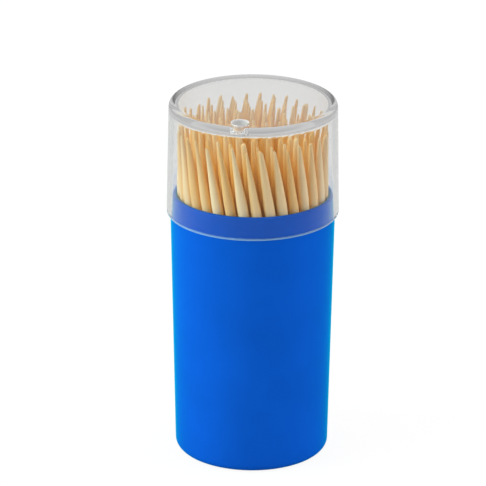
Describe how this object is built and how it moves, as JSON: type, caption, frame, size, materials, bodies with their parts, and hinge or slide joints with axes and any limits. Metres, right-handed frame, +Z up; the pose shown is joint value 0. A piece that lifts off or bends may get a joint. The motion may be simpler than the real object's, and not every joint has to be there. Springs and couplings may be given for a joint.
{
  "type": "bottle of toothpicks",
  "caption": "Tapered blue plastic cup filled with a twisted bundle of pointed wooden toothpicks, under a clear press-on cap with a small dispensing hole.",
  "frame": {"origin": "centre of the ring that the cup stands on", "axes": "+Z up along the cup's axis, towards the cap; the dispensing hole lies on the -Y side"},
  "size_m": [0.0336, 0.0336, 0.072],
  "materials": {
    "blue_plastic": "satin",
    "clear_plastic": "polished",
    "wood": "natural"
  },
  "bodies": {
    "filled_cup": {"cup": "blue_plastic", "toothpick_01": "wood", "toothpick_02": "wood", "toothpick_03": "wood", "toothpick_04": "wood", "toothpick_05": "wood", "toothpick_06": "wood", "toothpick_07": "wood", "toothpick_08": "wood", "toothpick_09": "wood", "toothpick_10": "wood", "toothpick_11": "wood", "toothpick_12": "wood", "toothpick_13": "wood", "toothpick_14": "wood", "toothpick_15": "wood", "toothpick_16": "wood", "toothpick_17": "wood", "toothpick_18": "wood", "toothpick_19": "wood", "toothpick_20": "wood", "toothpick_21": "wood", "toothpick_22": "wood", "toothpick_23": "wood", "toothpick_24": "wood", "toothpick_25": "wood", "toothpick_26": "wood", "toothpick_27": "wood", "toothpick_28": "wood", "toothpick_29": "wood", "toothpick_30": "wood", "toothpick_31": "wood", "toothpick_32": "wood", "toothpick_33": "wood", "toothpick_34": "wood", "toothpick_35": "wood", "toothpick_36": "wood", "inner_toothpicks_1": "wood", "inner_toothpicks_2": "wood", "inner_toothpicks_3": "wood", "inner_toothpicks_4": "wood", "inner_toothpicks_5": "wood"},
    "lid": {"cap": "clear_plastic"}
  },
  "joints": [
    {"name": "cap_lift", "type": "slide", "parent": "filled_cup", "child": "lid", "axis": [0, 0, 1], "range_m": [0, 0.025]}
  ]
}
